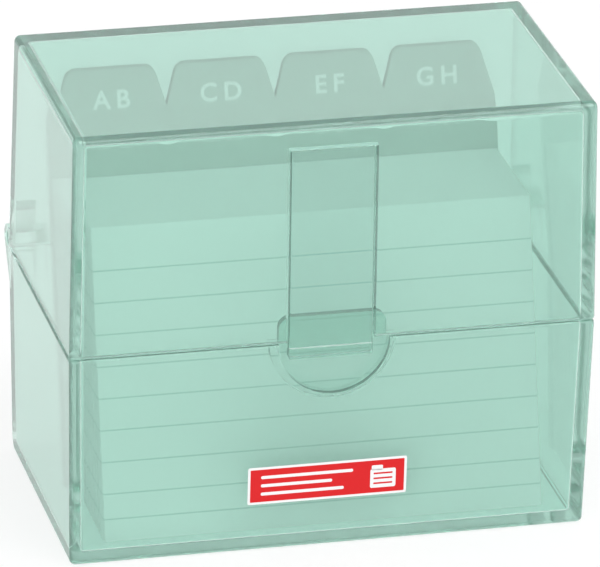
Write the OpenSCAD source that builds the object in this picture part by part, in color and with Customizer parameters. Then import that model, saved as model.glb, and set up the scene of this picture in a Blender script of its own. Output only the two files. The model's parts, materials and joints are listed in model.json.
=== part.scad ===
// Card index box for A8 cards: a tapered clear plastic tray with a hinged lid,
// a flexible latch tongue in the lid's front wall, one hundred ruled cards and
// twelve index dividers leaning back against the rear wall.
// Frame: X runs along the width, Y from front to back, Z up from the rest face.

/* [Box] */
// Outer width at the seam, where the box is widest
box_w = 88; // [86:0.5:92]
// Outer depth at the seam
box_d = 50; // [50:0.5:56]
// Outer height of the closed box
box_h = 75; // [75:0.5:80]
// Height of the seam between tray and lid
seam_h = 37; // [34:0.5:38]
// Wall thickness of both shells
wall = 2; // [1.8:0.1:2]
// Gap between the two rims when the lid is closed
seam_gap = 0.2; // [0.1:0.05:0.4]
// How far the rounded rear bottom edge of the tray reaches
rear_foot_r = 3.3; // [2:0.1:4]
// Radius of the lid's front top edge
lid_front_r = 1.7; // [1.2:0.1:2.5]
// Radius of the other outer edges
edge_r = 1; // [0.6:0.1:1]

/* [Latch] */
// Width of the tongue in the lid's front wall
tongue_w = 14; // [12:0.5:16]
// How far the tongue hangs below the seam
tongue_drop = 2.7; // [2:0.1:4]
// Slit on each side of the tongue
slit = 0.35; // [0.3:0.05:0.6]
// Radius of the half-round thumb recess in the tray's front wall
recess_r = 9.3; // [8.8:0.1:11]
// Depth of the thumb recess
recess_depth = 2.4; // [2.2:0.1:2.4]
// Height of the catch plate above the seam
catch_rise = 4; // [3:0.5:5]

/* [Hinge] */
// Distance of the hinge axis behind the rear wall
hinge_back = 2.6; // [2.6:0.1:3]
// Outer radius of a hinge eye
eye_r = 2.4; // [2.2:0.1:2.4]
// Radius of a moulded trunnion
trunnion_r = 1.2; // [1:0.05:1.3]
// Radial running clearance of a trunnion in its bore
hinge_play = 0.06; // [0.03:0.01:0.1]
// Distance of each hinge from the middle of the box
hinge_x = 39.6; // [24:0.2:39.6]

/* [Cards] */
// Width of a card (A8 sheet)
card_w = 74; // [74:1:74]
// Height of a card (A8 sheet)
card_h = 52; // [52:1:52]
// Thickness of a card
card_t = 0.18; // [0.15:0.01:0.18]
// Pitch from one card to the next, square to the cards
card_pitch = 0.205; // [0.2:0.005:0.205]
// Number of cards in one pack
cards_per_pack = 10; // [5:1:10]
// How far the stack leans back, degrees
lean = 15; // [14:0.1:15.2]

/* [Dividers] */
// Width of a divider
divider_w = 75; // [74:0.5:76]
// Height of a divider without its tab
divider_h = 57.8; // [56:0.2:58.2]
// Height of a tab
tab_h = 10.6; // [8:0.2:10.6]
// Width of a tab at its top
tab_top_w = 14.6; // [12:0.2:15]
// Distance between neighbouring tabs
tab_pitch = 18.6; // [18:0.1:18.6]
// Thickness of a divider
divider_t = 0.12; // [0.1:0.01:0.13]
// Pitch from one divider to the next, square to the sheets
divider_pitch = 0.145; // [0.14:0.005:0.15]

/* [Label] */
// Width of the front label
label_w = 26.8; // [20:0.2:30]
// Height of the front label
label_h = 6.7; // [5:0.1:8]
// Height of the label's middle above the rest face
label_z = 11.9; // [9:0.1:16]

/* [Hidden] */
$fn = 64;
corner_fn = 24;
eps = 0.01;
clear_mint = [0.70, 0.86, 0.80, 0.45];
card_white = [0.95, 0.96, 0.95];
divider_green = [0.55, 0.75, 0.68];
label_red = [0.85, 0.12, 0.16];

side_draft = 0.015;             // inward lean of each side wall per unit of height
front_draft = 0.027;            // inward lean of the front and rear walls
inner_r = 1;                    // radius of the inner edges of both shells
lid_h = box_h - seam_h - seam_gap / 2;
tray_h = seam_h - seam_gap / 2;
front_y = -box_d / 2;
axis_y = box_d / 2 + hinge_back;
bore_r = trunnion_r + hinge_play;
eye_w = 3.6;                    // width of the lid's hinge eye
lug_w = 2;                      // width of each tray lug
lug_gap = 0.2;                  // side play between eye and lugs
gusset_h = 8;                   // how far a gusset runs along the rear wall
trunnion_end_gap = 0.2;         // a trunnion ends this far inside its lug's outer face
tongue_t = 1.6;                 // thickness of the tongue
tongue_x = -0.6;                // the tongue sits slightly left of the middle
tongue_top = box_h - 4.5;       // upper end of the tongue's slot, under the lid's top
root_gap = 0.1;                 // the tongue ends this far below that
tongue_lip = 0.4;               // inward lip along the tongue's tip
lip_h = 1.2;                    // height of that lip
catch_w = 18;                   // width of the catch plate above the seam
catch_t = 1.3;                  // thickness of recess floor and catch plate
catch_corner_r = 2;             // rounded upper corners of the catch plate
catch_bead_r = 0.2;             // low bead the tongue's lip rides over
catch_bead_rise = 1.5;          // height of that bead above the seam
gusset_angle = 20;              // where a gusset's slanted edge leaves the eye
card_x = 0.3;                   // the stack sits slightly right of the middle
floor_z = wall - 0.2;           // inner floor of the tray
card_front_y = front_y + 5.9;   // front bottom edge of the first card
card_lift = 0.08;               // clearance of a card's lower edge over the floor
divider_gap = 0.1;              // between the last card and the first divider
packs = 10;
tab_slope = 0.29;               // run of a tab's side per unit of height
tab_r = 2;                      // rounded upper corners of a tab
tabs_per_row = 4;
label_x = -0.6;
label_t = 0.12;
label_bite = 0.02;              // how deep the label sits in the wall
label_r = 0.3;

cards_total = packs * cards_per_pack;
card_step_y = card_pitch / cos(lean);
divider_step_y = divider_pitch / cos(lean);
divider_front_y = card_front_y + cards_total * card_step_y + divider_gap;

// One corner of a closed shell end: a ring whose outer radius rounds the
// long edge and whose section rounds the side.
module edge_corner(long_r, side_r) {
    rotate([0, 90, 0])
        rotate_extrude($fn = corner_fn)
            intersection() {
                translate([long_r - side_r, 0]) circle(side_r, $fn = corner_fn);
                translate([0, -side_r]) square([long_r, 2 * side_r]);
            }
}

// Tapered block, open end at z = 0 and closed, rounded end at z = high.
module tapered_block(wide, deep, high, front_r, back_r, side_r) {
    top_x = wide / 2 - side_draft * high - side_r;
    top_y = deep / 2 - front_draft * high;
    hull() {
        for (sx = [-1, 1]) {
            for (sy = [-1, 1])
                translate([sx * (wide / 2 - side_r), sy * (deep / 2 - side_r), 0])
                    cylinder(r = side_r, h = eps, $fn = corner_fn);
            translate([sx * top_x, -top_y + front_r, high - front_r]) edge_corner(front_r, side_r);
            translate([sx * top_x, top_y - back_r, high - back_r]) edge_corner(back_r, side_r);
        }
    }
}

// Shell with constant walls made from two tapered blocks.
module open_shell(high, skin, front_r, back_r) {
    difference() {
        tapered_block(box_w, box_d, high, front_r, back_r, edge_r);
        translate([0, 0, -eps])
            tapered_block(box_w - 2 * wall, box_d - 2 * wall, high - skin + eps,
                inner_r, max(back_r - wall, inner_r), inner_r);
    }
}

// Side profile of a hinge eye with its gusset; dir = 1 runs up, -1 down.
module eye_profile(dir) {
    root_y = -hinge_back - wall / 2;
    wall_y = -hinge_back - front_draft * gusset_h;
    union() {
        circle(eye_r);
        polygon([[root_y, dir * seam_gap], [0, dir * seam_gap],
            [eye_r * cos(gusset_angle), dir * eye_r * sin(gusset_angle)],
            [wall_y, dir * gusset_h], [root_y, dir * gusset_h]]);
    }
}

// Prism along X with the eye profile in the Y-Z plane, centred at x.
module eye_prism(x, width, dir) {
    translate([x - width / 2, axis_y, seam_h])
        rotate([90, 0, 90]) linear_extrude(width) eye_profile(dir);
}

module x_cylinder(x0, x1, r) {
    translate([x0, axis_y, seam_h]) rotate([0, 90, 0]) cylinder(r = r, h = x1 - x0);
}

module lid_hinge_eyes() {
    reach = eye_w / 2 + lug_gap + lug_w - trunnion_end_gap;
    for (side = [-1, 1]) {
        eye_prism(side * hinge_x, eye_w, 1);
        x_cylinder(side * hinge_x - reach, side * hinge_x + reach, trunnion_r);
    }
}

module tray_hinge_lugs() {
    offset_x = eye_w / 2 + lug_gap + lug_w / 2;
    for (side = [-1, 1], end = [-1, 1]) {
        lug_x = side * hinge_x + end * offset_x;
        difference() {
            eye_prism(lug_x, lug_w, -1);
            x_cylinder(lug_x - lug_w, lug_x + lug_w, bore_r);
        }
    }
}

// Half-round outline below the seam with the straight catch plate above it.
module recess_outline(r) {
    intersection() {
        translate([0, seam_h]) circle(r);
        translate([-r, seam_h - r]) square([2 * r, r]);
    }
}

module catch_plate_outline() {
    half = catch_w / 2;
    translate([-half, seam_h - eps]) square([catch_w, catch_rise - catch_corner_r]);
    translate([-half + catch_corner_r, seam_h - eps])
        square([catch_w - 2 * catch_corner_r, catch_rise]);
    for (side = [-1, 1])
        translate([side * (half - catch_corner_r), seam_h + catch_rise - catch_corner_r - eps])
            circle(catch_corner_r);
}

// Extrudes an X-Z outline from y0 to y1.
module front_plate(y0, y1) {
    translate([0, y1, 0]) rotate([90, 0, 0]) linear_extrude(y1 - y0) children();
}

module base_tray() {
    recess_y = front_y + recess_depth;
    color(clear_mint) {
        difference() {
            union() {
                translate([0, 0, tray_h]) mirror([0, 0, 1])
                    open_shell(tray_h, floor_z, edge_r, rear_foot_r);
                front_plate(front_y + wall / 2, recess_y + catch_t)
                    recess_outline(recess_r + catch_t);
            }
            front_plate(front_y - wall, recess_y) recess_outline(recess_r);
            translate([-box_w / 2, front_y, tray_h]) cube([box_w, 2 * wall + recess_depth, wall]);
        }
        front_plate(recess_y, recess_y + catch_t)
            intersection() {
                union() {
                    catch_plate_outline();
                    translate([-recess_r, seam_h - wall]) square([2 * recess_r, wall]);
                }
                translate([-catch_w / 2, seam_h - wall / 2])
                    square([catch_w, catch_rise + wall]);
            }
        translate([-catch_w / 4, recess_y, seam_h + catch_bead_rise])
            rotate([0, 90, 0]) cylinder(r = catch_bead_r, h = catch_w / 2);
        tray_hinge_lugs();
    }
}

module tongue_slot() {
    translate([tongue_x - tongue_w / 2 - slit, front_y - wall, seam_h - wall])
        cube([tongue_w + 2 * slit, 3 * wall, tongue_top - seam_h + wall]);
}

module lid_cover() {
    color(clear_mint) {
        difference() {
            translate([0, 0, seam_h + seam_gap / 2])
                open_shell(lid_h, wall, lid_front_r, edge_r);
            tongue_slot();
        }
        lid_hinge_eyes();
    }
}

// The tongue follows the lid's leaning front wall above the seam and hangs
// straight down in front of the catch plate below it.
module latch_tongue() {
    root_z = tongue_top - root_gap;
    root_y = front_y + front_draft * (root_z - seam_h);
    tip_z = seam_h - tongue_drop;
    color(clear_mint)
        translate([tongue_x - tongue_w / 2, 0, 0])
            rotate([90, 0, 90]) linear_extrude(tongue_w)
                polygon([[front_y, tip_z], [front_y + tongue_t + tongue_lip, tip_z],
                    [front_y + tongue_t + tongue_lip, tip_z + lip_h],
                    [front_y + tongue_t, tip_z + lip_h + tongue_lip],
                    [front_y + tongue_t, seam_h], [root_y + tongue_t, root_z],
                    [root_y, root_z], [front_y, seam_h]]);
}

module front_label() {
    drop = tray_h - label_z;
    color(label_red)
        translate([label_x, front_y + front_draft * drop - label_bite, label_z])
            rotate([90 + atan(front_draft), 0, 0]) linear_extrude(label_t)
                union() {
                    square([label_w - 2 * label_r, label_h], center = true);
                    square([label_w, label_h - 2 * label_r], center = true);
                    for (sx = [-1, 1], sy = [-1, 1])
                        translate([sx * (label_w / 2 - label_r), sy * (label_h / 2 - label_r)])
                            circle(label_r, $fn = corner_fn);
                }
}

// Small repeatable side step, so that the cards aren't perfectly aligned.
function card_shift(n) = 0.2 * sin(n * 137) + 0.1 * sin(n * 53);

// One card or divider sheet, standing on its lower front edge and leaning back.
module leaning_sheet(y, thick) {
    translate([card_x, y, floor_z + card_lift]) rotate([90 - lean, 0, 0])
        translate([0, 0, -thick]) linear_extrude(thick) children();
}

module card_pack(index) {
    color(card_white)
        for (i = [0 : cards_per_pack - 1]) {
            n = index * cards_per_pack + i;
            leaning_sheet(card_front_y + n * card_step_y, card_t)
                translate([card_shift(n) - card_w / 2, 0]) square([card_w, card_h]);
        }
}

// Tab with slanted sides; its upper corners are arcs tangent to top and side.
module tab_outline(x) {
    half = tab_top_w / 2;
    base_half = half + tab_slope * tab_h;
    arc_x = half + tab_r * (tab_slope - sqrt(1 + tab_slope * tab_slope));
    top = divider_h + tab_h;
    hull() {
        translate([x - base_half, divider_h - eps]) square([2 * base_half, eps]);
        for (side = [-1, 1])
            translate([x + side * arc_x, top - tab_r]) circle(tab_r, $fn = corner_fn);
    }
}

module divider(index) {
    slot = index % tabs_per_row;
    tab_x = (slot - (tabs_per_row - 1) / 2) * tab_pitch - card_x;
    color(divider_green)
        leaning_sheet(divider_front_y + index * divider_step_y, divider_t)
            union() {
                translate([-divider_w / 2, 0]) square([divider_w, divider_h]);
                intersection() {
                    tab_outline(tab_x);
                    translate([-divider_w / 2, 0]) square([divider_w, divider_h + tab_h]);
                }
            }
}

base_tray();
lid_cover();
latch_tongue();
front_label();
card_pack(0);  // cards_01
card_pack(1);  // cards_02
card_pack(2);  // cards_03
card_pack(3);  // cards_04
card_pack(4);  // cards_05
card_pack(5);  // cards_06
card_pack(6);  // cards_07
card_pack(7);  // cards_08
card_pack(8);  // cards_09
card_pack(9);  // cards_10
divider(0);  // divider_01
divider(1);  // divider_02
divider(2);  // divider_03
divider(3);  // divider_04
divider(4);  // divider_05
divider(5);  // divider_06
divider(6);  // divider_07
divider(7);  // divider_08
divider(8);  // divider_09
divider(9);  // divider_10
divider(10);  // divider_11
divider(11);  // divider_12
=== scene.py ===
"""Card index box for A8 cards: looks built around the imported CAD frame."""
import json
import math

import bmesh
import bpy
from mathutils import Matrix, Vector


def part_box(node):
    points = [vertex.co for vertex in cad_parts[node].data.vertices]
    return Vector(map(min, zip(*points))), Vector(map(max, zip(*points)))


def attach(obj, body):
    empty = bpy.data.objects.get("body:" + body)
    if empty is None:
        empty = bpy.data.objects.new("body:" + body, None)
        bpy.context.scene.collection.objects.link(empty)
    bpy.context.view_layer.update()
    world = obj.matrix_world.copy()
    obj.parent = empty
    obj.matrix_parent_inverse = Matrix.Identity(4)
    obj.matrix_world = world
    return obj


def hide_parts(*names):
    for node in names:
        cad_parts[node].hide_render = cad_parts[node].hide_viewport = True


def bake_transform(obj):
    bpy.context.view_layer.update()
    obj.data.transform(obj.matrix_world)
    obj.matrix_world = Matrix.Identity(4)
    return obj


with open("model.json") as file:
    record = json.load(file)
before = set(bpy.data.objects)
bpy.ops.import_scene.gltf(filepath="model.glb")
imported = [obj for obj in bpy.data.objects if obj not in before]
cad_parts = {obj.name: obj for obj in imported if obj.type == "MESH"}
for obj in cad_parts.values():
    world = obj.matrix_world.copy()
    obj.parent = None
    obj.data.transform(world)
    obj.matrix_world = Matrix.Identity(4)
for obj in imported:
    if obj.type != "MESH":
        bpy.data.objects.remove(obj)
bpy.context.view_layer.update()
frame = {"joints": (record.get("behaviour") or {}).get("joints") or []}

MM = 0.001

# Camera, as the object is seen: turned to the left, above, and nearly flat.
CAMERA_AIM = Vector((0.14, -0.34, 36.8)) * MM
CAMERA_AZIMUTH = math.radians(14.19)
CAMERA_ELEVATION = math.radians(23.17)
CAMERA_ROLL = math.radians(1.25)
CAMERA_DISTANCE = 1.1616
CAMERA_LENS = 421.0

# Shells. Outer size and seam come from the frame. Walls, outer rounds and drafts follow the
# CAD. The rim and inner rounds were set for the look and differ from it.
WALL = 2.0 * MM
RIM_ROUND = 0.45 * MM
INNER_ROUND = 0.6 * MM
EDGE_ROUND = 1.0 * MM
LID_FRONT_ROUND = 1.7 * MM
REAR_FOOT_ROUND = 3.3 * MM
SIDE_DRAFT = 0.015
FRONT_DRAFT = 0.027
CORNER_STEPS = 8
ROUND_STEPS = 48
SMALL_ARC_STEPS = 10
SHARP_ANGLE = 32

tray_low, tray_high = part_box("base_tray")
lid_low, lid_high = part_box("lid_cover")
tongue_low, tongue_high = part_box("latch_tongue")
label_low, label_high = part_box("front_label")
BOX_W = lid_high.x - lid_low.x
BOX_D = -2 * lid_low.y
BOX_H = lid_high.z
LID_JOINT = next(j for j in frame["joints"] if j["name"] == "lid_hinge")
AXIS = Vector(LID_JOINT["pos_m"])
SEAM = AXIS.z
HALF_GAP = 0.1 * MM
FRONT = -BOX_D / 2
FLOOR = 1.8 * MM

# Hinge, latch and thumb recess
EYE_R = 2.4 * MM
TRUNNION_R = 1.2 * MM
BORE_R = 1.26 * MM
EYE_W = 3.6 * MM
LUG_W = 2.0 * MM
LUG_GAP = 0.2 * MM
HINGE_X = 39.6 * MM
GUSSET_H = 8 * MM
GUSSET_ANGLE = 20
EYE_STEPS = 40
TONGUE_T = 1.6 * MM
TONGUE_ROUND = 0.2 * MM
TONGUE_LIP = 0.4 * MM
TONGUE_LIP_H = 1.2 * MM
TONGUE_STEPS = 24
SLIT = 0.35 * MM
RECESS_R = 9.3 * MM
RECESS_DEPTH = 2.4 * MM
CATCH_T = 1.3 * MM
CATCH_W = 18 * MM
CATCH_RISE = 4 * MM
CATCH_CORNER = 2 * MM

# Cards and dividers
LEAN = math.radians(15)
CARD_W = 74 * MM
CARD_H = 52 * MM
CARD_T = 0.18 * MM
CARD_PITCH = 0.205 * MM
CARDS_PER_PACK = 10
PACKS = 10
SHEET_X = 0.3 * MM
DIVIDER_W = 75 * MM
DIVIDER_H = 57.8 * MM
DIVIDER_T = 0.12 * MM
TAB_H = 10.6 * MM
TAB_TOP_W = 14.6 * MM
TAB_PITCH = 18.6 * MM
TAB_SLOPE = 0.29
TAB_R = 2 * MM
TAB_WORDS = ["AB", "CD", "EF", "GH", "IJ", "KL", "MN", "OP", "QR", "ST", "UV", "WXYZ"]
TABS_PER_ROW = 4
LETTER_SIZE = 4.3 * MM
LETTER_SPACING = 1.45
LETTER_WEIGHT = 0.09 * MM
LETTER_THICKNESS = 0.01 * MM
LETTER_DROP = 6.6 * MM
LETTER_LIFT = 0.011 * MM


# ---------------------------------------------------------------- node helpers

def new_material(name):
    material = bpy.data.materials.new(name)
    material.use_nodes = True
    material.node_tree.nodes.clear()
    return material, material.node_tree.nodes, material.node_tree.links


def add(nodes, kind, **values):
    """A node of that kind with its input sockets or properties set by name."""
    node = nodes.new(kind)
    for key, value in values.items():
        socket = key.replace("_", " ")
        if socket in node.inputs:
            node.inputs[socket].default_value = value
        else:
            setattr(node, key, value)
    return node


def maths(nodes, links, operation, first, second):
    """A Math node whose operands are sockets or numbers."""
    node = nodes.new("ShaderNodeMath")
    node.operation = operation
    for slot, value in enumerate((first, second)):
        if isinstance(value, (int, float)):
            node.inputs[slot].default_value = value
        else:
            links.new(value, node.inputs[slot])
    return node.outputs[0]


# ---------------------------------------------------------------- materials

def clear_plastic(name, tint, clarity=0.9):
    """Clear mint plastic. Shadow rays pass straight through a grey-green filter instead."""
    material, nodes, links = new_material(name)
    out = add(nodes, "ShaderNodeOutputMaterial")
    body = add(nodes, "ShaderNodeBsdfPrincipled")
    body.inputs["Base Color"].default_value = (*tint, 1)
    body.inputs["Transmission Weight"].default_value = clarity
    # Lower than real polystyrene, which turned the edges of stacked walls too dark.
    body.inputs["IOR"].default_value = 1.38
    coords = add(nodes, "ShaderNodeTexCoord")
    haze = add(nodes, "ShaderNodeTexNoise", Scale=900.0, Detail=3.0)
    links.new(coords.outputs["Object"], haze.inputs["Vector"])
    rough = add(nodes, "ShaderNodeMapRange")
    rough.inputs["To Min"].default_value = 0.02
    rough.inputs["To Max"].default_value = 0.06
    links.new(haze.outputs["Fac"], rough.inputs["Value"])
    links.new(rough.outputs["Result"], body.inputs["Roughness"])
    waves = add(nodes, "ShaderNodeTexNoise", Scale=55.0, Detail=2.0)
    links.new(coords.outputs["Object"], waves.inputs["Vector"])
    bump = add(nodes, "ShaderNodeBump", Strength=0.02, Distance=0.0002)
    links.new(waves.outputs["Fac"], bump.inputs["Height"])
    links.new(bump.outputs["Normal"], body.inputs["Normal"])
    open_light = add(nodes, "ShaderNodeBsdfTransparent")
    open_light.inputs["Color"].default_value = (0.56, 0.62, 0.60, 1)
    path = add(nodes, "ShaderNodeLightPath")
    mix = add(nodes, "ShaderNodeMixShader")
    links.new(path.outputs["Is Shadow Ray"], mix.inputs[0])
    links.new(body.outputs[0], mix.inputs[1])
    links.new(open_light.outputs[0], mix.inputs[2])
    links.new(mix.outputs[0], out.inputs["Surface"])
    depth = add(nodes, "ShaderNodeVolumeAbsorption")
    depth.inputs["Color"].default_value = (0.38, 0.68, 0.58, 1)
    depth.inputs["Density"].default_value = 14.0
    links.new(depth.outputs[0], out.inputs["Volume"])
    return material


def line_mask(nodes, links, coordinate, position, width):
    """1 within half a width of a position along a coordinate, else 0."""
    distance = maths(nodes, links, "SUBTRACT", coordinate, position)
    distance = maths(nodes, links, "ABSOLUTE", distance, 0.0)
    return maths(nodes, links, "LESS_THAN", distance, width / 2)


def ruled_card():
    """White card stock with a headline and eight more faint ruled lines."""
    header, spacing, last_step = 7.2, 5.27, 4.2
    full_steps = 7
    width = 0.26
    material, nodes, links = new_material("card_face")
    out = add(nodes, "ShaderNodeOutputMaterial")
    body = add(nodes, "ShaderNodeBsdfPrincipled", Roughness=0.85)
    body.inputs["Specular IOR Level"].default_value = 0.25
    coords = add(nodes, "ShaderNodeTexCoord")
    split = add(nodes, "ShaderNodeSeparateXYZ")
    links.new(coords.outputs["UV"], split.inputs[0])
    from_top = maths(nodes, links, "SUBTRACT", CARD_H / MM, split.outputs["Y"])
    past_header = maths(nodes, links, "SUBTRACT", from_top, header - spacing / 2)
    cell = maths(nodes, links, "MODULO", past_header, spacing)
    rows = line_mask(nodes, links, cell, spacing / 2, width)
    below = maths(nodes, links, "GREATER_THAN", past_header, 0.0)
    above_last = maths(nodes, links, "LESS_THAN", from_top, header + (full_steps + 0.5) * spacing)
    rows = maths(nodes, links, "MULTIPLY", rows, below)
    rows = maths(nodes, links, "MULTIPLY", rows, above_last)
    bottom_line = header + full_steps * spacing + last_step
    last = line_mask(nodes, links, from_top, bottom_line, width)
    ink = maths(nodes, links, "MAXIMUM", rows, last)
    grain = add(nodes, "ShaderNodeTexNoise", Scale=2500.0, Detail=4.0)
    links.new(coords.outputs["Object"], grain.inputs["Vector"])
    worn = add(nodes, "ShaderNodeMapRange")
    worn.inputs["To Min"].default_value = 0.7
    worn.inputs["To Max"].default_value = 1.0
    links.new(grain.outputs["Fac"], worn.inputs["Value"])
    ink = maths(nodes, links, "MULTIPLY", ink, worn.outputs["Result"])
    paper = add(nodes, "ShaderNodeMix", data_type="RGBA")
    paper.inputs[6].default_value = (0.90, 0.93, 0.92, 1)
    paper.inputs[7].default_value = (0.96, 0.97, 0.965, 1)
    links.new(grain.outputs["Fac"], paper.inputs[0])
    printed = add(nodes, "ShaderNodeMix", data_type="RGBA")
    printed.inputs[7].default_value = (0.57, 0.69, 0.67, 1)
    links.new(paper.outputs[2], printed.inputs[6])
    links.new(ink, printed.inputs[0])
    links.new(printed.outputs[2], body.inputs["Base Color"])
    bump = add(nodes, "ShaderNodeBump", Strength=0.15, Distance=0.00002)
    links.new(grain.outputs["Fac"], bump.inputs["Height"])
    links.new(bump.outputs["Normal"], body.inputs["Normal"])
    links.new(body.outputs[0], out.inputs["Surface"])
    return material


def stock(name, dark, light, roughness, scale, strength, glow=0.0):
    """Plain sheet material with fine mottling and a fine bump."""
    material, nodes, links = new_material(name)
    out = add(nodes, "ShaderNodeOutputMaterial")
    body = add(nodes, "ShaderNodeBsdfPrincipled")
    body.inputs["Specular IOR Level"].default_value = 0.3
    coords = add(nodes, "ShaderNodeTexCoord")
    grain = add(nodes, "ShaderNodeTexNoise", Scale=scale, Detail=4.0)
    links.new(coords.outputs["Object"], grain.inputs["Vector"])
    tone = add(nodes, "ShaderNodeMix", data_type="RGBA")
    tone.inputs[6].default_value = (*dark, 1)
    tone.inputs[7].default_value = (*light, 1)
    links.new(grain.outputs["Fac"], tone.inputs[0])
    links.new(tone.outputs[2], body.inputs["Base Color"])
    body.inputs["Emission Color"].default_value = (1, 1, 1, 1)
    body.inputs["Emission Strength"].default_value = glow
    rough = add(nodes, "ShaderNodeMapRange")
    rough.inputs["To Min"].default_value = roughness - 0.06
    rough.inputs["To Max"].default_value = roughness + 0.06
    links.new(grain.outputs["Fac"], rough.inputs["Value"])
    links.new(rough.outputs["Result"], body.inputs["Roughness"])
    bump = add(nodes, "ShaderNodeBump", Strength=strength, Distance=0.00002)
    links.new(grain.outputs["Fac"], bump.inputs["Height"])
    links.new(bump.outputs["Normal"], body.inputs["Normal"])
    links.new(body.outputs[0], out.inputs["Surface"])
    return material


# ---------------------------------------------------------------- mesh helpers

def make_object(name, mesh, *materials):
    piece = bpy.data.objects.new(name, mesh)
    bpy.context.scene.collection.objects.link(piece)
    for material in materials:
        mesh.materials.append(material)
    return piece


def mesh_from(name, bm):
    bmesh.ops.recalc_face_normals(bm, faces=bm.faces)
    mesh = bpy.data.meshes.new(name)
    bm.to_mesh(mesh)
    bm.free()
    return mesh


def soften(piece, angle):
    """Smooth shading with sharp edges above an angle, and normals that keep big faces flat."""
    mesh = piece.data
    mesh.polygons.foreach_set("use_smooth", [True] * len(mesh.polygons))
    mesh.set_sharp_from_angle(angle=math.radians(angle))
    weighted = piece.modifiers.new("flat_faces", "WEIGHTED_NORMAL")
    weighted.weight = 100
    weighted.keep_sharp = True


def apply_boolean(piece, other, operation):
    """Cuts or joins a scratch piece, then removes it. Millimetres make the solver more exact."""
    for mesh in (piece.data, other.data):
        mesh.transform(Matrix.Scale(1 / MM, 4))
    modifier = piece.modifiers.new("boolean", "BOOLEAN")
    modifier.operation = operation
    modifier.solver = "EXACT"
    modifier.object = other
    bpy.context.view_layer.update()
    graph = bpy.context.evaluated_depsgraph_get()
    result = bpy.data.meshes.new_from_object(piece.evaluated_get(graph))
    result.transform(Matrix.Scale(MM, 4))
    piece.modifiers.remove(modifier)
    piece.data = result
    bpy.data.objects.remove(other)


def prism(name, outline, low, high, place):
    """Closed prism of an outline (x, y pairs), from low to high, put in place by a function."""
    bm = bmesh.new()
    rings = [[bm.verts.new(place(x, y, level)) for x, y in outline] for level in (low, high)]
    bm.faces.new(rings[0])
    bm.faces.new(rings[1])
    count = len(outline)
    for i in range(count):
        j = (i + 1) % count
        bm.faces.new((rings[0][i], rings[0][j], rings[1][j], rings[1][i]))
    return make_object(name, mesh_from(name, bm))


def arc(cx, cy, radius, start, end, steps):
    """Points of an arc, angles in degrees."""
    angles = [math.radians(start + (end - start) * i / steps) for i in range(steps + 1)]
    return [(cx + radius * math.cos(a), cy + radius * math.sin(a)) for a in angles]


# ---------------------------------------------------------------- shells

def quarter_levels(high, radius):
    """Distances from the rim at which a rounded edge of that radius gets a ring."""
    steps = CORNER_STEPS
    return [high - radius + radius * math.sin(math.pi / 2 * i / steps) for i in range(steps + 1)]


def edge_inset(t, high, radius):
    """How far a rounded edge has curved inwards at a distance t from the rim."""
    over = t - (high - radius)
    if over <= 0:
        return 0.0
    return radius - math.sqrt(max(radius * radius - over * over, 0.0))


def rim_inset(t):
    """How far the rounded rim curves away near the open end."""
    left = RIM_ROUND - t
    if left <= 0:
        return 0.0
    return RIM_ROUND - math.sqrt(max(RIM_ROUND * RIM_ROUND - left * left, 0.0))


def wall_rings(half_w, half_d, high, front_r, back_r, side_r, rim_sign):
    """Rounded rectangles down one skin of a shell: (t, points) from the rim to the closed end."""
    levels = [RIM_ROUND * (1 - math.cos(math.pi / 2 * i / 3)) for i in range(4)]
    for radius in (front_r, back_r, side_r):
        levels += quarter_levels(high, radius)
    rings = []
    for t in sorted({round(level, 7) for level in levels}):
        rim = rim_sign * rim_inset(t)
        side = edge_inset(t, high, side_r)
        x = half_w - SIDE_DRAFT * t - side - rim
        y = half_d - FRONT_DRAFT * t - rim
        front = -y + edge_inset(t, high, front_r)
        back = y - edge_inset(t, high, back_r)
        corner = max(side_r - side, 0.03 * MM)
        steps = CORNER_STEPS
        points = arc(x - corner, front + corner, corner, -90, 0, steps)
        points += arc(x - corner, back - corner, corner, 0, 90, steps)
        points += arc(-x + corner, back - corner, corner, 90, 180, steps)
        points += arc(-x + corner, front + corner, corner, 180, 270, steps)
        rings.append((t, points))
    return rings


def open_shell(name, high, skin, front_r, back_r, rim_z, direction):
    """Tapered shell, open at rim_z and closed at a distance high in the given Z direction."""
    outer = wall_rings(BOX_W / 2, BOX_D / 2, high, front_r, back_r, EDGE_ROUND, 1)
    inner_back = max(back_r - WALL, INNER_ROUND)
    inner = wall_rings(BOX_W / 2 - WALL, BOX_D / 2 - WALL, high - skin,
                       INNER_ROUND, inner_back, INNER_ROUND, -1)
    bm = bmesh.new()
    rings = []
    for t, points in list(reversed(outer)) + inner:
        rings.append([bm.verts.new((x, y, rim_z + direction * t)) for x, y in points])
    count = len(rings[0])
    for lower, upper in zip(rings, rings[1:]):
        for i in range(count):
            j = (i + 1) % count
            bm.faces.new((lower[i], lower[j], upper[j], upper[i]))
    bm.faces.new(rings[0])
    bm.faces.new(rings[-1])
    return make_object(name, mesh_from(name, bm))


def along_x(x, y, level):
    """Outline in the Y-Z plane, extruded along X."""
    return (level, x, y)


def along_y(x, y, level):
    """Outline in the X-Z plane, extruded along Y."""
    return (x, level, y)


def eye_outline(direction):
    """Round hinge eye with a gusset that runs along the rear wall."""
    root = BOX_D / 2 - WALL / 2
    wall_y = BOX_D / 2 - FRONT_DRAFT * GUSSET_H
    foot = 0.2 * MM
    end = -180 - math.degrees(math.asin(foot / EYE_R))
    eye = arc(0, 0, EYE_R, GUSSET_ANGLE, end, EYE_STEPS)
    outline = [(AXIS.y + y, AXIS.z + direction * z) for y, z in eye]
    outline.append((root, AXIS.z + direction * foot))
    outline.append((root, AXIS.z + direction * GUSSET_H))
    outline.append((wall_y, AXIS.z + direction * GUSSET_H))
    return outline


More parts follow.
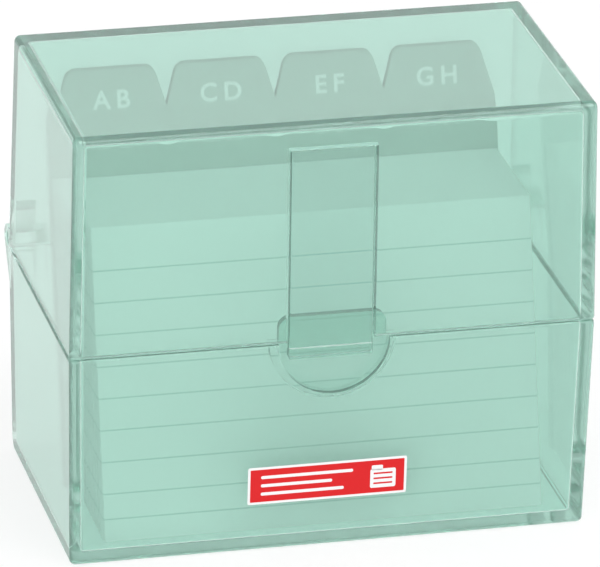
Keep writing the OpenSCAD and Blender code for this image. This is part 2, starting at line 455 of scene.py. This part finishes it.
def axle(name, x0, x1, radius):
    """Cylinder on the hinge axis."""
    circle = arc(0, 0, radius, 0, 360, ROUND_STEPS)[:-1]
    ring = [(AXIS.y + y, AXIS.z + z) for y, z in circle]
    return prism(name, ring, x0, x1, along_x)


def recess_outline(radius, top):
    """Half round below the seam, closed by a straight line at the given height."""
    half = arc(0, SEAM, radius, 180, 360, ROUND_STEPS)
    return half + [(radius, top), (-radius, top)]


def catch_outline():
    """Plate behind the tongue with rounded upper corners."""
    half, r, top = CATCH_W / 2, CATCH_CORNER, SEAM + CATCH_RISE
    outline = [(-half, SEAM - WALL), (half, SEAM - WALL)]
    outline += arc(half - r, top - r, r, 0, 90, SMALL_ARC_STEPS)
    outline += arc(-half + r, top - r, r, 90, 180, SMALL_ARC_STEPS)
    return outline


def tray_piece(material):
    high = SEAM - HALF_GAP
    tray = open_shell("tray_shell", high, FLOOR, EDGE_ROUND, REAR_FOOT_ROUND, high, -1)
    recess_y = FRONT + RECESS_DEPTH
    half_backing = arc(0, SEAM, RECESS_R + CATCH_T, 181, 359, ROUND_STEPS)
    backing = prism("backing", half_backing, FRONT + WALL / 2, recess_y + CATCH_T, along_y)
    apply_boolean(tray, backing, "UNION")
    recess = recess_outline(RECESS_R, SEAM + WALL)
    cutter = prism("cutter", recess, FRONT - WALL, recess_y, along_y)
    apply_boolean(tray, cutter, "DIFFERENCE")
    catch = prism("catch", catch_outline(), recess_y, recess_y + CATCH_T, along_y)
    apply_boolean(tray, catch, "UNION")
    offset = EYE_W / 2 + LUG_GAP + LUG_W / 2
    for side in (-1, 1):
        for end in (-1, 1):
            x = side * HINGE_X + end * offset
            lug = prism("lug", eye_outline(-1), x - LUG_W / 2, x + LUG_W / 2, along_x)
            apply_boolean(tray, lug, "UNION")
            apply_boolean(tray, axle("bore", x - LUG_W, x + LUG_W, BORE_R), "DIFFERENCE")
    tray.data.materials.clear()
    tray.data.materials.append(material)
    soften(tray, SHARP_ANGLE)
    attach(tray, "tray")
    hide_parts("base_tray")


def lid_piece(material):
    high = BOX_H - SEAM - HALF_GAP
    lid = open_shell("lid_shell", high, WALL, LID_FRONT_ROUND, EDGE_ROUND, SEAM + HALF_GAP, 1)
    slot_top = tongue_high.z + 0.1 * MM
    slot_outline = [(tongue_low.x - SLIT, SEAM - WALL), (tongue_high.x + SLIT, SEAM - WALL),
                    (tongue_high.x + SLIT, slot_top), (tongue_low.x - SLIT, slot_top)]
    slot = prism("slot", slot_outline, FRONT - WALL, FRONT + 2 * WALL, along_y)
    apply_boolean(lid, slot, "DIFFERENCE")
    reach = EYE_W / 2 + LUG_GAP + LUG_W - 0.2 * MM
    for side in (-1, 1):
        x = side * HINGE_X
        eye = prism("eye", eye_outline(1), x - EYE_W / 2, x + EYE_W / 2, along_x)
        apply_boolean(lid, eye, "UNION")
        apply_boolean(lid, axle("trunnion", x - reach, x + reach, TRUNNION_R), "UNION")
    lid.data.materials.clear()
    lid.data.materials.append(material)
    soften(lid, SHARP_ANGLE)
    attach(lid, "lid")
    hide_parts("lid_cover")


def tongue_piece(material):
    """Thin strip with rounded edges."""
    half = (tongue_high.x - tongue_low.x) / 2
    middle = (tongue_high.x + tongue_low.x) / 2
    round_r = TONGUE_ROUND
    tip = tongue_low.z
    root = tongue_high.z
    lip = TONGUE_LIP
    lip_h = TONGUE_LIP_H
    levels = [tip + round_r * (1 - math.cos(math.pi / 2 * i / 4)) for i in range(5)]
    levels += [tip + lip_h, tip + lip_h + lip, SEAM]
    levels += [SEAM + (root - SEAM) * i / TONGUE_STEPS for i in range(1, TONGUE_STEPS + 1)]
    bm = bmesh.new()
    rings = []
    for z in levels:
        shrink = round_r - math.sqrt(max(round_r ** 2 - max(round_r - (z - tip), 0) ** 2, 0))
        lean_in = FRONT_DRAFT * max(z - SEAM, 0)
        extra = lip * min(max((tip + lip_h + lip - z) / lip, 0), 1)
        y0 = FRONT + lean_in + shrink
        y1 = FRONT + lean_in + TONGUE_T + extra - shrink
        x = half - shrink
        r = round_r
        outline = arc(x - r, y0 + r, r, -90, 0, 4) + arc(x - r, y1 - r, r, 0, 90, 4)
        outline += arc(-x + r, y1 - r, r, 90, 180, 4) + arc(-x + r, y0 + r, r, 180, 270, 4)
        rings.append([bm.verts.new((middle + px, py, z)) for px, py in outline])
    count = len(rings[0])
    for lower, upper in zip(rings, rings[1:]):
        for i in range(count):
            j = (i + 1) % count
            bm.faces.new((lower[i], lower[j], upper[j], upper[i]))
    bm.faces.new(rings[0])
    bm.faces.new(rings[-1])
    tongue = make_object("tongue", mesh_from("tongue", bm), material)
    soften(tongue, SHARP_ANGLE)
    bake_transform(tongue)
    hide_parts("latch_tongue")


# ---------------------------------------------------------------- cards and dividers

def leaning(origin):
    """Matrix that stands a sheet drawn in X-Y on its lower edge at origin and leans it back."""
    return Matrix.Translation(origin) @ Matrix.Rotation(math.pi / 2 - LEAN, 4, "X")


def add_sheet(bm, outline, thickness, matrix, uv_layer):
    """Adds one sheet: printed front and back (material 0) and cut edges (material 1)."""
    front = [bm.verts.new(matrix @ Vector((x, y, 0))) for x, y in outline]
    back = [bm.verts.new(matrix @ Vector((x, y, -thickness))) for x, y in outline]
    faces = [bm.faces.new(front), bm.faces.new(list(reversed(back)))]
    count = len(outline)
    for i in range(count):
        j = (i + 1) % count
        side = bm.faces.new((front[j], front[i], back[i], back[j]))
        side.material_index = 1
        faces.append(side)
    flat = {vert: point for ring in (front, back) for vert, point in zip(ring, outline)}
    for face in faces:
        for loop in face.loops:
            x, y = flat[loop.vert]
            loop[uv_layer].uv = (x / MM, y / MM)


def card_shift(n):
    """Small repeatable side step of a card, in metres."""
    return (0.2 * math.sin(math.radians(n * 137)) + 0.1 * math.sin(math.radians(n * 53))) * MM


def card_pack(index, face, edge):
    low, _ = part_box(f"cards_{index + 1:02d}")
    half = CARD_W / 2
    step = CARD_PITCH / math.cos(LEAN)
    foot = Vector((SHEET_X, low.y, low.z + CARD_T * math.sin(LEAN)))
    bm = bmesh.new()
    uv_layer = bm.loops.layers.uv.new("sheet")
    for i in range(CARDS_PER_PACK):
        shift = card_shift(index * CARDS_PER_PACK + i)
        left, right = shift - half, shift + half
        outline = [(left, 0), (right, 0), (right, CARD_H), (left, CARD_H)]
        add_sheet(bm, outline, CARD_T, leaning(foot + Vector((0, i * step, 0))), uv_layer)
    name = f"card_pack_{index + 1:02d}"
    piece = make_object(name, mesh_from(name, bm), face, edge)
    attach(piece, f"pack_{index + 1:02d}")
    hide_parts(f"cards_{index + 1:02d}")


def tab_centre(index):
    slot = index % TABS_PER_ROW
    return (slot - (TABS_PER_ROW - 1) / 2) * TAB_PITCH - SHEET_X


def divider_outline(index):
    """Sheet with one slanted tab whose upper corners are round."""
    centre = tab_centre(index)
    half_sheet = DIVIDER_W / 2
    top = DIVIDER_H + TAB_H
    half = TAB_TOP_W / 2
    base = half + TAB_SLOPE * TAB_H
    tilt = math.degrees(math.atan(TAB_SLOPE))
    arc_x = half + TAB_R * (TAB_SLOPE - math.hypot(1, TAB_SLOPE))
    outline = [(-half_sheet, 0), (half_sheet, 0)]
    right, left = centre + base, centre - base
    if right < half_sheet:
        outline += [(half_sheet, DIVIDER_H), (right, DIVIDER_H)]
    else:
        outline.append((half_sheet, DIVIDER_H + (right - half_sheet) / TAB_SLOPE))
    outline += arc(centre + arc_x, top - TAB_R, TAB_R, tilt, 90, SMALL_ARC_STEPS)
    outline += arc(centre - arc_x, top - TAB_R, TAB_R, 90, 180 - tilt, SMALL_ARC_STEPS)
    if left > -half_sheet:
        outline += [(left, DIVIDER_H), (-half_sheet, DIVIDER_H)]
    else:
        outline.append((-half_sheet, DIVIDER_H + (-half_sheet - left) / TAB_SLOPE))
    return outline


def index_word(word, matrix, material):
    """Plain index letters on a tab, a hair above the sheet."""
    curve = bpy.data.curves.new("index_" + word, "FONT")
    curve.body = word
    curve.align_x = "CENTER"
    curve.size = LETTER_SIZE
    curve.space_character = LETTER_SPACING
    curve.offset = LETTER_WEIGHT
    curve.extrude = LETTER_THICKNESS
    curve.resolution_u = 6
    text = bpy.data.objects.new("index_" + word, curve)
    bpy.context.scene.collection.objects.link(text)
    bpy.context.view_layer.update()
    graph = bpy.context.evaluated_depsgraph_get()
    mesh = bpy.data.meshes.new_from_object(text.evaluated_get(graph))
    bpy.data.objects.remove(text)
    mesh.transform(matrix)
    mesh.materials.clear()
    return make_object("letters_" + word, mesh, material)


def divider(index, sheet, edge, ink):
    low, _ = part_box(f"divider_{index + 1:02d}")
    body = f"index_{index + 1:02d}"
    foot = Vector((SHEET_X, low.y, low.z + DIVIDER_T * math.sin(LEAN)))
    bm = bmesh.new()
    uv_layer = bm.loops.layers.uv.new("sheet")
    add_sheet(bm, divider_outline(index), DIVIDER_T, leaning(foot), uv_layer)
    name = f"divider_sheet_{index + 1:02d}"
    piece = make_object(name, mesh_from(name, bm), sheet, edge)
    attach(piece, body)
    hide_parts(f"divider_{index + 1:02d}")
    baseline = DIVIDER_H + TAB_H - LETTER_DROP
    place = leaning(foot) @ Matrix.Translation((tab_centre(index), baseline, LETTER_LIFT))
    word = index_word(TAB_WORDS[index], place, ink)
    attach(word, body)


# ---------------------------------------------------------------- label

def plate_outline(cx, cy, width, height, radius):
    x, y = width / 2 - radius, height / 2 - radius
    outline = arc(cx + x, cy - y, radius, -90, 0, 6) + arc(cx + x, cy + y, radius, 0, 90, 6)
    outline += arc(cx - x, cy + y, radius, 90, 180, 6) + arc(cx - x, cy - y, radius, 180, 270, 6)
    return outline


def label_piece(white, red):
    """Red label with a white border, three plain bars and a small index-card sign."""
    width = label_high.x - label_low.x
    height = 6.7 * MM
    centre = Vector(((label_high.x + label_low.x) / 2, 0, (label_high.z + label_low.z) / 2))
    centre.y = FRONT + FRONT_DRAFT * (SEAM - HALF_GAP - centre.z) - 0.02 * MM
    upright = math.pi / 2 + math.atan(FRONT_DRAFT)
    place = Matrix.Translation(centre) @ Matrix.Rotation(upright, 4, "X")
    border = 0.42 * MM
    bm = bmesh.new()

    def plate(outline, low, high, slot):
        rings = [[bm.verts.new(place @ Vector((x, y, z))) for x, y in outline] for z in (low, high)]
        faces = [bm.faces.new(rings[0]), bm.faces.new(rings[1])]
        for i in range(len(outline)):
            j = (i + 1) % len(outline)
            faces.append(bm.faces.new((rings[0][i], rings[0][j], rings[1][j], rings[1][i])))
        for face in faces:
            face.material_index = slot

    plate(plate_outline(0, 0, width, height, 0.35 * MM), 0, 0.08 * MM, 0)
    plate(plate_outline(0, 0, width - 2 * border, height - 2 * border, 0.15 * MM),
          0.08 * MM, 0.1 * MM, 1)
    for row, length in enumerate((15.5, 12.0, 14.0)):
        bar = plate_outline((-11.2 + length / 2) * MM, (1.5 - 1.5 * row) * MM, length * MM,
                            0.55 * MM, 0.25 * MM)
        plate(bar, 0.1 * MM, 0.115 * MM, 0)
    sign_x = 9.4 * MM
    plate(plate_outline(sign_x, -0.35 * MM, 4.3 * MM, 3.4 * MM, 0.3 * MM), 0.1 * MM, 0.11 * MM, 0)
    plate(plate_outline(sign_x - 1.0 * MM, 1.6 * MM, 1.9 * MM, 0.9 * MM, 0.2 * MM),
          0.1 * MM, 0.11 * MM, 0)
    for row in range(3):
        plate(plate_outline(sign_x, (0.55 - 0.9 * row) * MM, 3.2 * MM, 0.3 * MM, 0.05 * MM),
              0.11 * MM, 0.118 * MM, 1)
    label = make_object("label", mesh_from("label", bm), white, red)
    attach(label, "tray")
    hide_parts("front_label")


# ---------------------------------------------------------------- stage

def add_camera():
    data = bpy.data.cameras.new("camera")
    data.lens = CAMERA_LENS
    data.clip_start = 0.01
    camera = bpy.data.objects.new("camera", data)
    level = math.cos(CAMERA_ELEVATION)
    back = Vector((-math.sin(CAMERA_AZIMUTH) * level, -math.cos(CAMERA_AZIMUTH) * level,
                   math.sin(CAMERA_ELEVATION)))
    place = Matrix.Translation(CAMERA_AIM + back * CAMERA_DISTANCE)
    turn = (-back).to_track_quat("-Z", "Y").to_matrix().to_4x4()
    camera.matrix_world = place @ turn @ Matrix.Rotation(CAMERA_ROLL, 4, "Z")
    bpy.context.scene.collection.objects.link(camera)
    bpy.context.scene.camera = camera


def add_area(name, location, size, power):
    """Square soft light that faces the box."""
    data = bpy.data.lights.new(name, "AREA")
    data.shape = "SQUARE"
    data.size = size
    data.energy = power
    light = bpy.data.objects.new(name, data)
    light.location = location
    aim = CAMERA_AIM - Vector(location)
    light.rotation_euler = aim.to_track_quat("-Z", "Y").to_euler()
    bpy.context.scene.collection.objects.link(light)


def add_stage():
    bm = bmesh.new()
    half = 3.0
    corners = [(-half, -half), (half, -half), (half, half), (-half, half)]
    bm.faces.new([bm.verts.new((x, y, -0.05 * MM)) for x, y in corners])
    paper = stock("floor_paper", (0.27, 0.27, 0.27), (0.29, 0.29, 0.29), 0.9, 40.0, 0.02, 0.75)
    floor = make_object("floor", mesh_from("floor", bm), paper)
    world = bpy.data.worlds.new("studio")
    world.use_nodes = True
    world.node_tree.nodes["Background"].inputs["Color"].default_value = (1, 1, 1, 1)
    world.node_tree.nodes["Background"].inputs["Strength"].default_value = 0.65
    bpy.context.scene.world = world
    add_area("key", (0.27, -0.47, 1.07), 0.5, 3.5)
    add_area("fill", (-0.75, -1.1, 0.5), 0.9, 4.4)
    add_area("back", (0.35, 1.3, 0.65), 1.0, 1.4)
    light_paths = bpy.context.scene.cycles
    light_paths.max_bounces = 32
    light_paths.glossy_bounces = 24
    light_paths.transmission_bounces = 24
    bpy.context.scene.view_settings.view_transform = "Standard"


def main():
    plastic = clear_plastic("clear_plastic", (0.67, 0.865, 0.80))
    tray_piece(plastic)
    lid_piece(plastic)
    # The tongue's plastic is a darker, hazier copy of the lid's plastic: painted shade for the
    # darker look where the tongue lies over more plastic.
    tongue_piece(clear_plastic("tongue_plastic_painted_shade", (0.60, 0.80, 0.735), 0.86))
    face = ruled_card()
    edge = stock("card_edge", (0.82, 0.86, 0.85), (0.93, 0.95, 0.94), 0.9, 1800.0, 0.1)
    for index in range(PACKS):
        card_pack(index, face, edge)
    sheet = stock("divider_sheet", (0.56, 0.62, 0.59), (0.56, 0.615, 0.59), 0.45, 600.0, 0.1)
    ink = stock("index_ink", (0.93, 0.95, 0.94), (0.97, 0.98, 0.975), 0.6, 900.0, 0.02)
    for index in range(len(TAB_WORDS)):
        divider(index, sheet, sheet, ink)
    white = stock("label_white", (0.88, 0.88, 0.88), (0.95, 0.95, 0.95), 0.35, 800.0, 0.03)
    red = stock("label_red", (0.70, 0.008, 0.010), (0.75, 0.010, 0.014), 0.5, 800.0, 0.03)
    label_piece(white, red)
    add_stage()
    add_camera()


main()
